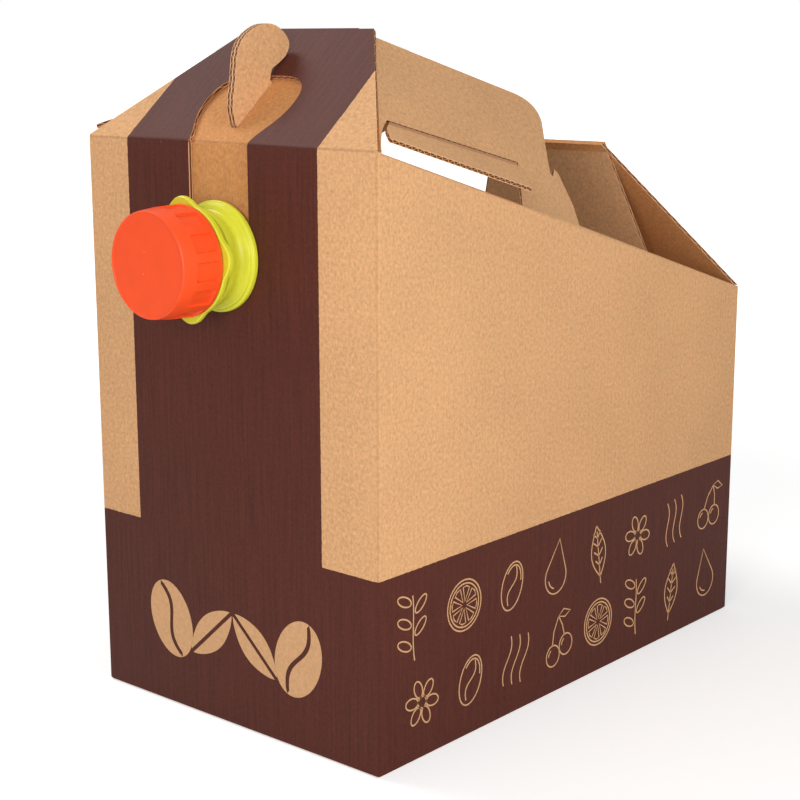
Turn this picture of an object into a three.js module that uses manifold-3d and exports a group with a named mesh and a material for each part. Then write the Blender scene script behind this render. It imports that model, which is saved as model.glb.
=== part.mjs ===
// A corrugated bag-in-box drinks carton with a screw-capped spout, in millimetres with +Z up.
// The origin is the centre of the base's underside, the spout faces -Y and the width runs along X.
import * as THREE from 'three';
import { mergeVertices } from 'three/addons/utils/BufferGeometryUtils.js';
import Module from 'manifold-3d';

const wasm = await Module();
wasm.setup();

// Board and clearances.
const BOARD = 1.6;
const GAP = 0.3;

// Walls.
const WIDTH = 150;
const DEPTH = 245;
const FRONT_HEIGHT = 224.4;
const BACK_HEIGHT = 151.9;
const GLUE_FLAP_WIDTH = 30;
const GLUE_FLAP_DROP = 8;

// Front sloping panel, its ridge and the liner that is folded back under it.
const FRONT_SLOPE_ANGLE = 40.5;
const FRONT_SLOPE_LENGTH = 61.6;
const FRONT_RIDGE_WIDTH = 65;
const LINER_WIDTH = 52;
const LINER_BELOW_SPOUT = 24;

// Handle panels, as lengths along their crease from the front and heights up the panel.
const HANDLE_LEAN = 40.5;
const HANDLE_TOP_FRONT = 62;
const HANDLE_TOP_REAR = 69.6;
const HANDLE_LENGTH = 139.5;
const HANDLE_CORNER = 15;
const HANDLE_CORNER_DROP = 3;
const HANDLE_CORNER_BULGE = 2;
const HANDLE_BASE_LENGTH = 125;
const NOTCH_START = [125.1, 33.4];
const NOTCH_ROOT = [121.6, 25.8];
const NOTCH_BOTTOM = [122.8, 24.6];
const HOOK_TIP = [127.1, 29.5];
const HOOK_BACK = [128.6, 27.6];
const HOOK_HEEL = [127.6, 11];

// Grip slots and their flaps.
const SLOT_START = 3;
const SLOT_SHOULDER = [7.4, 10.9];
const SLOT_TOP_FRONT = [16, 17.7];
const SLOT_TOP_REAR = [98.7, 23.8];
const SLOT_END = 86.5;
const GRIP_FLAP_SWING = 19;
const GRIP_FLAP_CLEARANCE = 0.8;
const GRIP_HINGE_CLEARANCE = 0.15;

// Back sloping panel and the tuck flap that hangs from its ridge.
const BACK_SLOPE_ANGLE = 55.3;
const BACK_SLOPE_LENGTH = 78;
const BACK_RIDGE_WIDTH = 60;
const TUCK_ANGLE = 77.5;
const TUCK_LENGTH = 70;
const TUCK_FLARE = 0.3;
const TUCK_CORNER = 8;

// Spout and the keyhole that it slides down into.
const SPOUT_X = -2;
const SPOUT_HEIGHT = 183;
const SPOUT_GROOVE_RADIUS = 15;
const SPOUT_BORE_RADIUS = 12.5;
const SPOUT_CLEARANCE = 0.5;
const OUTER_FLANGE_RADIUS = 20.5;
const OUTER_FLANGE_THICKNESS = 3.2;
const INNER_FLANGE_RADIUS = 22;
const INNER_FLANGE_THICKNESS = 1.5;
const NECK_RADIUS = 16.6;
const NECK_RING_RADIUS = 18.6;
const NECK_RING_REACH = 9.4;
const NECK_RING_THICKNESS = 2.4;
const THREAD_RADIUS = 17.2;
const COLLAR_RADIUS = 20.6;
const COLLAR_LOBE = 2.6;
const COLLAR_LOBES = 4;
const COLLAR_LOBE_PHASE = 5;
const COLLAR_THICKNESS = 2.6;
const KEYHOLE_BELL_WIDTH = 46;
const KEYHOLE_BELL_LENGTH = 35.5;

// Cap and its sealing disc.
const CAP_REACH = 35;
const CAP_LENGTH = 17.6;
const CAP_FACE_RADIUS = 18.9;
const CAP_SKIRT_RADIUS = 20.3;
const CAP_WALL = 1.6;
const CAP_PANELS = 12;
const CAP_PANEL_PHASE = -4;
const CAP_REAR_RING = 1.6;
const CAP_PANEL_LENGTH = 9.5;
const CAP_PANEL_DEPTH = 0.6;
const CAP_PANEL_SHARE = 0.62;
const CAP_CLEARANCE = 0.6;
const DISC_THICKNESS = 1;

// Lock fin: its outline as distance up the slope from the front crease and height above the panel.
const FIN_OUTLINE = [
  [10, -0.5], [13.4, 5.2], [20, 10.8], [27.2, 17.3], [32.7, 19.5], [38.4, 19.2], [44, 17.2],
  [48.6, 13.2], [50.8, 7.6], [50.2, 2.8], [46.2, 0.8], [41.4, 1.1], [37.2, 1.8], [33.8, -0.5],
];
const FIN_FOOT_WIDTH = 12;
const FIN_FOOT_INSET = 1.5;

// Filled bag: a pillow on the base, and the slack film that rises to the spout.
const BAG_SIDE_ROOM = 3;
const BAG_END_ROOM = 2;
const BAG_HEIGHT = 100;
const BAG_TAIL_WIDTH = 124;
const BAG_TAIL_DEPTH = 18;
const BAG_TAIL_BOTTOM = 55;
const BAG_TAIL_ABOVE_SPOUT = 29;
const BAG_SQUARENESS = 4;

// Places that follow from the driving dimensions.
const FRONT_Y = -DEPTH / 2;
const BACK_Y = DEPTH / 2;
const SIDE_X = WIDTH / 2;
const FAR = 400;
const LINER_DEPTH = BOARD + GAP;
const LINER_BACK = LINER_DEPTH + BOARD;
const KEYHOLE_RADIUS = SPOUT_GROOVE_RADIUS + SPOUT_CLEARANCE;
const INNER_FLANGE_FRONT = -(LINER_BACK + GAP);
const INNER_FLANGE_BACK = INNER_FLANGE_FRONT - INNER_FLANGE_THICKNESS;
const CAP_REAR = CAP_REACH - CAP_LENGTH;
const COLLAR_FRONT = CAP_REAR - GAP;
const COLLAR_REAR = COLLAR_FRONT - COLLAR_THICKNESS;
const DISC_FRONT = CAP_REACH - CAP_WALL - GAP;
const NECK_END = DISC_FRONT - DISC_THICKNESS - GAP;
const CAP_BORE_RADIUS = THREAD_RADIUS + CAP_CLEARANCE;

// Directions.
const X = new THREE.Vector3(1, 0, 0);
const Y = new THREE.Vector3(0, 1, 0);
const Z = new THREE.Vector3(0, 0, 1);
const radians = THREE.MathUtils.degToRad;

function upwards(angle, forwards = 1) {
  return new THREE.Vector3(0, forwards * Math.cos(radians(angle)), Math.sin(radians(angle)));
}

function solid(geometry) {
  const bare = geometry.clone();
  bare.deleteAttribute('normal');
  bare.deleteAttribute('uv');
  const merged = mergeVertices(bare, 1e-4);
  const vertProperties = new Float32Array(merged.attributes.position.array);
  const triVerts = new Uint32Array(merged.index.array);
  return new wasm.Manifold(new wasm.Mesh({ numProp: 3, vertProperties, triVerts }));
}

function geometryOf(body) {
  const { numProp, vertProperties, triVerts } = body.getMesh();
  const positions = [];
  for (let i = 0; i < vertProperties.length; i += numProp) {
    positions.push(vertProperties[i], vertProperties[i + 1], vertProperties[i + 2]);
  }
  const geometry = new THREE.BufferGeometry();
  geometry.setAttribute('position', new THREE.Float32BufferAttribute(positions, 3));
  geometry.setIndex(Array.from(triVerts));
  geometry.computeVertexNormals();
  return geometry;
}

function piece(name, body, colour, roughness) {
  const material = new THREE.MeshStandardMaterial({ color: colour, roughness, metalness: 0 });
  const mesh = new THREE.Mesh(geometryOf(body), material);
  mesh.name = name;
  return mesh;
}

function mirrored(body) {
  const geometry = geometryOf(body);
  geometry.scale(-1, 1, 1);
  const index = geometry.index.array;
  for (let i = 0; i < index.length; i += 3) {
    [index[i], index[i + 1]] = [index[i + 1], index[i]];
  }
  return solid(geometry);
}

function shapeOf(points) {
  return new THREE.Shape(points.map(([u, v]) => new THREE.Vector2(u, v)));
}

// A sheet with its outline along the directions u and v from an origin, between two depths along u x v.
function sheet(shape, origin, u, v, from, to) {
  const settings = { depth: to - from, bevelEnabled: false, curveSegments: 10 };
  const geometry = new THREE.ExtrudeGeometry(shape, settings);
  geometry.translate(0, 0, from);
  const w = new THREE.Vector3().crossVectors(u, v);
  geometry.applyMatrix4(new THREE.Matrix4().makeBasis(u, v, w).setPosition(origin));
  return solid(geometry);
}

// A prism along X with its outline given as Y and Z.
function prism(points, left, right) {
  return sheet(shapeOf(points), new THREE.Vector3(), Y, Z, left, right);
}

const slopeUp = upwards(FRONT_SLOPE_ANGLE);
const slopeOrigin = new THREE.Vector3(0, FRONT_Y, FRONT_HEIGHT);
const backUp = upwards(BACK_SLOPE_ANGLE, -1);
const backOrigin = new THREE.Vector3(0, BACK_Y, BACK_HEIGHT);
const backRidge = backOrigin.clone().addScaledVector(backUp, BACK_SLOPE_LENGTH);

// The handle panel's own directions, on the right-hand side: along its crease, up the panel and outwards.
const creaseOrigin = new THREE.Vector3(SIDE_X, FRONT_Y, FRONT_HEIGHT);
const along = new THREE.Vector3(0, DEPTH, BACK_HEIGHT - FRONT_HEIGHT).normalize();
const uprightUp = new THREE.Vector3().crossVectors(X, along);
const panelUp = uprightUp.clone().multiplyScalar(Math.cos(radians(HANDLE_LEAN)));
panelUp.addScaledVector(X, -Math.sin(radians(HANDLE_LEAN)));
const panelOut = new THREE.Vector3().crossVectors(along, panelUp);

function onHandle([a, h], out = 0) {
  const point = creaseOrigin.clone().addScaledVector(along, a).addScaledVector(panelUp, h);
  return point.addScaledVector(panelOut, out);
}

// Outline of the outside of the four walls, seen along X and raised by a margin.
function wallProfile(raise) {
  return [[FRONT_Y, 0], [BACK_Y, 0], [BACK_Y, BACK_HEIGHT + raise], [FRONT_Y, FRONT_HEIGHT + raise]];
}

function walls() {
  const outside = prism(wallProfile(0), -SIDE_X, SIDE_X);
  const hollow = [
    [FRONT_Y + BOARD, BOARD], [BACK_Y - BOARD, BOARD], [BACK_Y - BOARD, FAR], [FRONT_Y + BOARD, FAR],
  ];
  const inside = prism(hollow, -SIDE_X + BOARD, SIDE_X - BOARD);
  return outside.subtract(inside);
}

// The glued flap that closes the sleeve, inside the left wall at its back edge.
function glueFlap() {
  const top = BACK_HEIGHT - GLUE_FLAP_DROP;
  const front = BACK_Y - BOARD - GLUE_FLAP_WIDTH;
  const back = BACK_Y - BOARD;
  const outline = [[front, BOARD], [back, BOARD], [back, top], [front, top - GLUE_FLAP_DROP]];
  return prism(outline, -SIDE_X + BOARD, -SIDE_X + 2 * BOARD);
}

function frontSlope() {
  const foot = SIDE_X;
  const ridge = FRONT_RIDGE_WIDTH / 2;
  const outline = [[-foot, 0], [foot, 0], [ridge, FRONT_SLOPE_LENGTH], [-ridge, FRONT_SLOPE_LENGTH]];
  return sheet(shapeOf(outline), slopeOrigin, X, slopeUp, -BOARD, 0);
}

// The liner's outline seen along X: down under the slope from the ridge, then down behind the front wall.
function linerProfile(near, far, top, bottom) {
  const bend = Math.tan(radians(FRONT_SLOPE_ANGLE) / 2 + Math.PI / 4);
  const cornerAt = (depth) => [FRONT_Y + depth, FRONT_HEIGHT - depth / bend];
  const rise = ([y, z], s) => [y + s * slopeUp.y, z + s * slopeUp.z];
  const ridgeAt = (depth) => {
    const foot = [FRONT_Y + depth * slopeUp.z, FRONT_HEIGHT - depth * slopeUp.y];
    return rise(foot, top);
  };
  return [
    [FRONT_Y + near, bottom], [FRONT_Y + far, bottom], cornerAt(far),
    ridgeAt(far), ridgeAt(near), cornerAt(near),
  ];
}

function liner() {
  const bottom = SPOUT_HEIGHT - LINER_BELOW_SPOUT;
  const profile = linerProfile(LINER_DEPTH, LINER_BACK, FRONT_SLOPE_LENGTH, bottom);
  const middle = SPOUT_X;
  const half = LINER_WIDTH / 2;
  const whole = prism(profile, middle - half, middle + half);
  return whole.subtract(linerNotch()).subtract(finSlit());
}

// The half-round fold at the ridge that joins the front slope to the liner under it.
function ridgeFold() {
  const radius = LINER_BACK / 2;
  const shape = new THREE.Shape();
  shape.absarc(0, 0, radius, -Math.PI / 2, Math.PI / 2, false);
  const centre = slopeOrigin.clone().addScaledVector(slopeUp, FRONT_SLOPE_LENGTH - GAP);
  const slopeOut = new THREE.Vector3().crossVectors(X, slopeUp);
  centre.addScaledVector(slopeOut, -radius);
  const half = LINER_WIDTH / 2;
  return sheet(shape, centre, slopeUp, slopeOut, SPOUT_X - half, SPOUT_X + half);
}

// The slot's straight sides and round foot in the front wall.
function keyholeInWall() {
  const shape = new THREE.Shape();
  shape.moveTo(KEYHOLE_RADIUS, FAR);
  shape.lineTo(-KEYHOLE_RADIUS, FAR);
  shape.lineTo(-KEYHOLE_RADIUS, 0);
  shape.absarc(0, 0, KEYHOLE_RADIUS, Math.PI, 2 * Math.PI, false);
  shape.lineTo(KEYHOLE_RADIUS, FAR);
  const centre = new THREE.Vector3(SPOUT_X, FRONT_Y, SPOUT_HEIGHT);
  return sheet(shape, centre, X, Z, -BOARD - GAP / 2, BOARD);
}

// The bell at the top of the slot, in the front slope.
function keyholeBell() {
  const half = KEYHOLE_BELL_WIDTH / 2;
  const length = KEYHOLE_BELL_LENGTH;
  const shape = new THREE.Shape();
  shape.moveTo(-KEYHOLE_RADIUS, -BOARD);
  shape.lineTo(KEYHOLE_RADIUS, -BOARD);
  shape.lineTo(KEYHOLE_RADIUS, 0);
  shape.bezierCurveTo(KEYHOLE_RADIUS + 1, length * 0.2, half, length * 0.32, half, length * 0.62);
  shape.bezierCurveTo(half, length * 0.85, half * 0.8, length, half * 0.35, length);
  shape.lineTo(-half * 0.35, length);
  shape.bezierCurveTo(-half * 0.8, length, -half, length * 0.85, -half, length * 0.62);
  shape.bezierCurveTo(-half, length * 0.32, -KEYHOLE_RADIUS - 1, length * 0.2, -KEYHOLE_RADIUS, 0);
  shape.lineTo(-KEYHOLE_RADIUS, -BOARD);
  const origin = slopeOrigin.clone().setX(SPOUT_X);
  return sheet(shape, origin, X, slopeUp, -BOARD - GAP / 2, BOARD);
}

// The notch in the liner's foot, which sits down over the spout's groove.
function linerNotch() {
  const shape = new THREE.Shape();
  shape.moveTo(-KEYHOLE_RADIUS, -FAR);
  shape.lineTo(KEYHOLE_RADIUS, -FAR);
  shape.lineTo(KEYHOLE_RADIUS, 0);
  shape.absarc(0, 0, KEYHOLE_RADIUS, 0, Math.PI, false);
  shape.lineTo(-KEYHOLE_RADIUS, -FAR);
  const centre = new THREE.Vector3(SPOUT_X, FRONT_Y, SPOUT_HEIGHT);
  return sheet(shape, centre, X, Z, -LINER_BACK - GAP, BOARD);
}

function finRoot() {
  return [FIN_OUTLINE[0][0], FIN_OUTLINE[FIN_OUTLINE.length - 1][0]];
}

function finSlit() {
  const [low, high] = finRoot();
  const half = BOARD + GAP;
  const outline = [[-half, low - GAP], [half, low - GAP], [half, high + GAP], [-half, high + GAP]];
  const origin = slopeOrigin.clone().setX(SPOUT_X);
  return sheet(shapeOf(outline), origin, X, slopeUp, -LINER_BACK - BOARD, -BOARD);
}

function handleOutline() {
  const shape = new THREE.Shape();
  const slope = (HANDLE_TOP_REAR - HANDLE_TOP_FRONT) / HANDLE_LENGTH;
  const cornerStart = HANDLE_LENGTH - HANDLE_CORNER;
  const cornerFoot = HANDLE_TOP_REAR - HANDLE_CORNER;
  shape.moveTo(-BOARD, 0);
  shape.lineTo(HANDLE_BASE_LENGTH, 0);
  shape.lineTo(...HOOK_HEEL);
  shape.lineTo(...HOOK_BACK);
  shape.lineTo(...HOOK_TIP);
  shape.lineTo(...NOTCH_BOTTOM);
  shape.lineTo(...NOTCH_ROOT);
  shape.lineTo(...NOTCH_START);
  const half = HANDLE_CORNER / 2;
  const inner = HANDLE_LENGTH - HANDLE_CORNER_BULGE;
  const outer = HANDLE_LENGTH + HANDLE_CORNER_BULGE;
  shape.quadraticCurveTo(HANDLE_LENGTH - half, cornerFoot - half, inner, cornerFoot + HANDLE_CORNER_DROP);
  shape.quadraticCurveTo(outer, HANDLE_TOP_REAR, cornerStart, HANDLE_TOP_REAR - slope * HANDLE_CORNER);
  shape.lineTo(0, HANDLE_TOP_FRONT);
  return shape;
}

function slotOutline() {
  const raise = GRIP_HINGE_CLEARANCE + BOARD / 2;
  const shape = new THREE.Shape();
  shape.moveTo(SLOT_START, -BOARD);
  shape.lineTo(SLOT_END, -BOARD);
  shape.lineTo(SLOT_END, 0);
  shape.lineTo(SLOT_TOP_REAR[0], SLOT_TOP_REAR[1] + raise);
  shape.lineTo(SLOT_TOP_FRONT[0], SLOT_TOP_FRONT[1] + raise);
  shape.quadraticCurveTo(...SLOT_SHOULDER, SLOT_START, 0);
  return shape;
}

function handlePanel() {
  const panel = sheet(handleOutline(), creaseOrigin, along, panelUp, -BOARD, 0);
  const above = GRIP_FLAP_SWING;
  const slot = sheet(slotOutline(), creaseOrigin, along, panelUp, -BOARD - above, above);
  return panel.subtract(slot).subtract(frontSlopeRoom()).subtract(linerRoom());
}

// All that lies above the front slope's underside, where the handle panels may not reach.
function frontSlopeRoom() {
  const outline = [[-WIDTH, -DEPTH], [WIDTH, -DEPTH], [WIDTH, DEPTH], [-WIDTH, DEPTH]];
  return sheet(shapeOf(outline), slopeOrigin, X, slopeUp, -BOARD - GAP, FAR);
}

function linerRoom() {
  const profile = linerProfile(0, LINER_BACK + GAP, FRONT_SLOPE_LENGTH + LINER_BACK, 0);
  const half = LINER_WIDTH / 2 + GAP;
  return prism(profile, SPOUT_X - half, SPOUT_X + half);
}

function cartonBody() {
  const keyhole = keyholeInWall().add(keyholeBell());
  const handle = handlePanel();
  const shell = walls().add(glueFlap()).add(frontSlope()).subtract(keyhole);
  return shell.add(liner()).add(ridgeFold()).add(handle).add(mirrored(handle));
}

function backFlap() {
  const foot = SIDE_X;
  const ridge = BACK_RIDGE_WIDTH / 2;
  const slope = [[-foot, 0], [foot, 0], [ridge, BACK_SLOPE_LENGTH], [-ridge, BACK_SLOPE_LENGTH]];
  const panel = sheet(shapeOf(slope), backOrigin, X, backUp, 0, BOARD);
  const flap = sheet(tuckOutline(), backRidge, X, upwards(-TUCK_ANGLE), 0, BOARD);
  const room = prism(wallProfile(GAP), -WIDTH, WIDTH);
  return panel.subtract(room).add(flap);
}

function tuckOutline() {
  const ridge = BACK_RIDGE_WIDTH / 2;
  const foot = ridge + TUCK_FLARE * TUCK_LENGTH;
  const shape = new THREE.Shape();
  shape.moveTo(-ridge, 0);
  shape.lineTo(ridge, 0);
  shape.lineTo(foot, TUCK_LENGTH - TUCK_CORNER);
  shape.quadraticCurveTo(foot, TUCK_LENGTH, foot - TUCK_CORNER, TUCK_LENGTH);
  shape.lineTo(-foot + TUCK_CORNER, TUCK_LENGTH);
  shape.quadraticCurveTo(-foot, TUCK_LENGTH, -foot, TUCK_LENGTH - TUCK_CORNER);
  shape.lineTo(-ridge, 0);
  return shape;
}

// The board cut from the right-hand slot, swung outwards on its crease at the slot's upper edge.
function gripFlap() {
  const mid = -BOARD / 2;
  const from = onHandle(SLOT_TOP_FRONT, mid);
  const to = onHandle(SLOT_TOP_REAR, mid);
  const hinge = to.clone().sub(from).normalize();
  const down = new THREE.Vector3().crossVectors(hinge, panelOut);
  const swing = radians(GRIP_FLAP_SWING);
  const fall = down.clone().multiplyScalar(Math.cos(swing)).addScaledVector(panelOut, Math.sin(swing));
  const local = (point) => {
    const offset = onHandle(point, mid).sub(from);
    return [offset.dot(hinge), offset.dot(down)];
  };
  const c = GRIP_FLAP_CLEARANCE;
  const length = from.distanceTo(to);
  const start = local([SLOT_START, 0]);
  const shoulder = local(SLOT_SHOULDER);
  const end = local([SLOT_END, 0]);
  const shape = new THREE.Shape();
  shape.moveTo(2 * c, 0);
  shape.quadraticCurveTo(shoulder[0] + c, shoulder[1], start[0] + 2 * c, start[1] - 2 * c);
  shape.lineTo(end[0] - 2 * c, end[1] - 2 * c);
  shape.lineTo(length - 2 * c, 0);
  const flap = sheet(shape, from, hinge, fall, mid, -mid);
  return flap.add(creaseBead(from, hinge, 2 * c, length - 2 * c));
}

// The rounded edge of board at a flap's crease.
function creaseBead(origin, direction, start, end) {
  const geometry = new THREE.CylinderGeometry(BOARD / 2, BOARD / 2, end - start, 16);
  geometry.applyQuaternion(new THREE.Quaternion().setFromUnitVectors(Y, direction));
  const middle = origin.clone().addScaledVector(direction, (start + end) / 2);
  geometry.translate(middle.x, middle.y, middle.z);
  return solid(geometry);
}

// A doubled fin of board that stands through the liner's slit, its two layers turned out as feet below.
function lockFin() {
  const lobe = new THREE.SplineCurve(FIN_OUTLINE.map(([s, n]) => new THREE.Vector2(s, n)));
  const [low, high] = finRoot();
  const footTop = -LINER_BACK - GAP;
  const outline = new THREE.Shape(lobe.getPoints(40));
  outline.lineTo(high, footTop - BOARD);
  outline.lineTo(low, footTop - BOARD);
  const origin = slopeOrigin.clone().setX(SPOUT_X);
  const slopeOut = new THREE.Vector3().crossVectors(X, slopeUp);
  const fin = sheet(outline, origin, slopeUp, slopeOut, -BOARD, BOARD);
  const half = BOARD + FIN_FOOT_WIDTH;
  const foot = [[-half, low + FIN_FOOT_INSET], [half, low + FIN_FOOT_INSET], [half, high], [-half, high]];
  return fin.add(sheet(shapeOf(foot), origin, X, slopeUp, footTop - BOARD, footTop));
}

// A body of revolution about the spout's axis, from radii and distances in front of the wall.
function turned(profile, segments) {
  const points = profile.map(([radius, reach]) => new THREE.Vector2(radius, reach));
  const geometry = new THREE.LatheGeometry(points, segments);
  geometry.rotateX(Math.PI);
  geometry.translate(SPOUT_X, FRONT_Y, SPOUT_HEIGHT);
  return solid(geometry);
}

function spout() {
  const f = OUTER_FLANGE_THICKNESS;
  const tube = turned([
    [SPOUT_BORE_RADIUS, INNER_FLANGE_BACK],
    [INNER_FLANGE_RADIUS, INNER_FLANGE_BACK],
    [INNER_FLANGE_RADIUS, INNER_FLANGE_FRONT],
    [SPOUT_GROOVE_RADIUS, INNER_FLANGE_FRONT],
    [SPOUT_GROOVE_RADIUS, GAP],
    [OUTER_FLANGE_RADIUS, GAP],
    [OUTER_FLANGE_RADIUS, GAP + f * 0.55],
    [OUTER_FLANGE_RADIUS - 0.8, GAP + f * 0.65],
    [OUTER_FLANGE_RADIUS - 1, GAP + f],
    [NECK_RADIUS + 0.7, GAP + f * 1.3],
    [NECK_RADIUS, GAP + f * 1.8],
    [NECK_RADIUS, NECK_RING_REACH - 0.8],
    [NECK_RING_RADIUS, NECK_RING_REACH],
    [NECK_RING_RADIUS, NECK_RING_REACH + NECK_RING_THICKNESS],
    [NECK_RADIUS, NECK_RING_REACH + NECK_RING_THICKNESS],
    [NECK_RADIUS, COLLAR_REAR],
    [THREAD_RADIUS, COLLAR_REAR],
    [THREAD_RADIUS, NECK_END - 1],
    [THREAD_RADIUS - 0.8, NECK_END],
    [SPOUT_BORE_RADIUS, NECK_END],
    [SPOUT_BORE_RADIUS, INNER_FLANGE_BACK],
  ], 48);
  return tube.add(collar());
}

// The flange behind the cap, with rounded lobes.
function collar() {
  const shape = new THREE.Shape();
  const steps = 96;
  for (let i = 0; i < steps; i += 1) {
    const angle = (2 * Math.PI * i) / steps;
    const lobe = Math.max(0, Math.cos(COLLAR_LOBES * (angle - radians(COLLAR_LOBE_PHASE)))) ** 1.5;
    const radius = COLLAR_RADIUS + COLLAR_LOBE * lobe;
    const point = [radius * Math.cos(angle), radius * Math.sin(angle)];
    if (i === 0) shape.moveTo(...point);
    else shape.lineTo(...point);
  }
  const bore = new THREE.Path();
  bore.absarc(0, 0, (SPOUT_BORE_RADIUS + NECK_RADIUS) / 2, 0, 2 * Math.PI, true);
  shape.holes.push(bore);
  const centre = new THREE.Vector3(SPOUT_X, FRONT_Y, SPOUT_HEIGHT);
  return sheet(shape, centre, X, Z, COLLAR_REAR, COLLAR_FRONT);
}

function cap() {
  const cup = turned([
    [0, CAP_REACH - CAP_WALL],
    [CAP_BORE_RADIUS, CAP_REACH - CAP_WALL],
    [CAP_BORE_RADIUS, CAP_REAR],
    [CAP_SKIRT_RADIUS, CAP_REAR],
    [CAP_SKIRT_RADIUS - 0.3, CAP_REAR + CAP_LENGTH * 0.6],
    [CAP_FACE_RADIUS + 0.5, CAP_REACH - 1.2],
    [CAP_FACE_RADIUS, CAP_REACH - 0.2],
    [CAP_FACE_RADIUS - 0.8, CAP_REACH],
    [0, CAP_REACH],
  ], 72);
  let cupWithPanels = cup;
  for (let i = 0; i < CAP_PANELS; i += 1) {
    const middle = radians(CAP_PANEL_PHASE) + (2 * Math.PI * i) / CAP_PANELS;
    cupWithPanels = cupWithPanels.subtract(capPanel(middle));
  }
  return cupWithPanels;
}

// One recess in the cap's skirt, open towards the wall.
function capPanel(angle) {
  const half = (CAP_PANEL_SHARE * Math.PI) / CAP_PANELS;
  const floor = CAP_SKIRT_RADIUS - 0.2 - CAP_PANEL_DEPTH;
  const shape = new THREE.Shape();
  shape.absarc(0, 0, floor, angle - half, angle + half, false);
  shape.absarc(0, 0, CAP_SKIRT_RADIUS + 1, angle + half, angle - half, true);
  const centre = new THREE.Vector3(SPOUT_X, FRONT_Y, SPOUT_HEIGHT);
  const start = CAP_REAR + CAP_REAR_RING;
  return sheet(shape, centre, X, Z, start, start + CAP_PANEL_LENGTH);
}

function sealingDisc() {
  const radius = CAP_BORE_RADIUS - GAP;
  const front = DISC_FRONT;
  const back = DISC_FRONT - DISC_THICKNESS;
  return turned([[0, back], [radius, back], [radius, front], [0, front]], 48);
}

// A rounded block between two corners, squarer than an ellipsoid.
function pillow(low, high) {
  const geometry = new THREE.SphereGeometry(1, 32, 20);
  const position = geometry.attributes.position;
  const power = 2 / BAG_SQUARENESS;
  const squared = (value) => (Math.abs(value) < 1e-6 ? 0 : Math.sign(value) * Math.abs(value) ** power);
  const size = new THREE.Vector3().subVectors(high, low).multiplyScalar(0.5);
  const centre = new THREE.Vector3().addVectors(high, low).multiplyScalar(0.5);
  for (let i = 0; i < position.count; i += 1) {
    const x = centre.x + size.x * squared(position.getX(i));
    const y = centre.y - size.y * squared(position.getZ(i));
    const z = centre.z + size.z * squared(position.getY(i));
    position.setXYZ(i, x, y, z);
  }
  return solid(geometry);
}

function innerBag() {
  const half = SIDE_X - BOARD - BAG_SIDE_ROOM;
  const floor = BOARD + GAP;
  const frontFace = FRONT_Y - INNER_FLANGE_BACK + GAP;
  const low = new THREE.Vector3(-half, frontFace, floor);
  const high = new THREE.Vector3(half, BACK_Y - BOARD - BAG_END_ROOM, floor + BAG_HEIGHT);
  const tailHalf = BAG_TAIL_WIDTH / 2;
  const tailLow = new THREE.Vector3(SPOUT_X - tailHalf, frontFace, BAG_TAIL_BOTTOM);
  const tailTop = SPOUT_HEIGHT + BAG_TAIL_ABOVE_SPOUT;
  const tailHigh = new THREE.Vector3(SPOUT_X + tailHalf, frontFace + BAG_TAIL_DEPTH, tailTop);
  return pillow(low, high).add(pillow(tailLow, tailHigh));
}

const kraft = 0xb98a5c;
const rightGripFlap = gripFlap();
const group = new THREE.Group();
group.add(piece('carton_body', cartonBody(), kraft, 0.9));
group.add(piece('back_flap', backFlap(), kraft, 0.9));
group.add(piece('right_grip_flap', rightGripFlap, kraft, 0.9));
group.add(piece('left_grip_flap', mirrored(rightGripFlap), kraft, 0.9));
group.add(piece('lock_fin', lockFin(), 0xb88a5e, 0.9));
group.add(piece('spout', spout(), 0xc6d94a, 0.35));
group.add(piece('cap', cap(), 0xf04e1e, 0.35));
group.add(piece('cap_liner', sealingDisc(), 0xe8e6df, 0.6));
group.add(piece('inner_bag', innerBag(), 0xc9ccd0, 0.3));

export default group;
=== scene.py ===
"""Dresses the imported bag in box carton: board, print, spout and cap, film bag and stage."""

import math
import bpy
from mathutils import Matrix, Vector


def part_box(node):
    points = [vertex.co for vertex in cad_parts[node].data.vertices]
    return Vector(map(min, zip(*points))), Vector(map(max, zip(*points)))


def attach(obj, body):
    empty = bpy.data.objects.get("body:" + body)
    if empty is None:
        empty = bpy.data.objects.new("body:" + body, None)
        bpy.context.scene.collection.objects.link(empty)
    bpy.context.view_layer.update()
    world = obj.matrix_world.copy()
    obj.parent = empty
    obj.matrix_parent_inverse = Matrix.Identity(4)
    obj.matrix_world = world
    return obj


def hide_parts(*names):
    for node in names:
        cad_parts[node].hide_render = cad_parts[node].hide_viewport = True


bl_info = {
    "name": "Bag in Box Carton",
    "version": (1, 0, 0),
    "blender": (4, 5, 0),
    "location": "3D View > Sidebar > Carton",
    "description": "Models and finishes a corrugated drinks carton around its packed frame",
    "category": "Object",
}

import bpy
import numpy as np
from mathutils import Matrix, Vector

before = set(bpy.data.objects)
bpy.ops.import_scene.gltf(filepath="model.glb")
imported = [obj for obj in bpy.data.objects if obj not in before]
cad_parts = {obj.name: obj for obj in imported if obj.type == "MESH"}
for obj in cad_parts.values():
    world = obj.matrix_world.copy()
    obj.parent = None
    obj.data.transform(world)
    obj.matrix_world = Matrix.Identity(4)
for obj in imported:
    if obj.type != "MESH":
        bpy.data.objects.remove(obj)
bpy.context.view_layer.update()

# Lengths of the carton in metres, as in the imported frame.
MM = 0.001
BOARD = 1.6 * MM
GAP = 0.3 * MM
SIDE_X = 75 * MM
FRONT_Y = -122.5 * MM
BACK_Y = 122.5 * MM
FRONT_HEIGHT = 224.4 * MM
BACK_HEIGHT = 151.9 * MM
SPOUT = Vector((-2 * MM, FRONT_Y, 183 * MM))
SLOPE_UP = Vector((0, math.cos(math.radians(40.5)), math.sin(math.radians(40.5))))
SLOPE_OUT = Vector((0, -SLOPE_UP.z, SLOPE_UP.y))
ALONG = Vector((0, 0.95890, -0.28376))
PANEL_OUT = Vector((0.76041, 0.18429, 0.62276))
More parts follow.
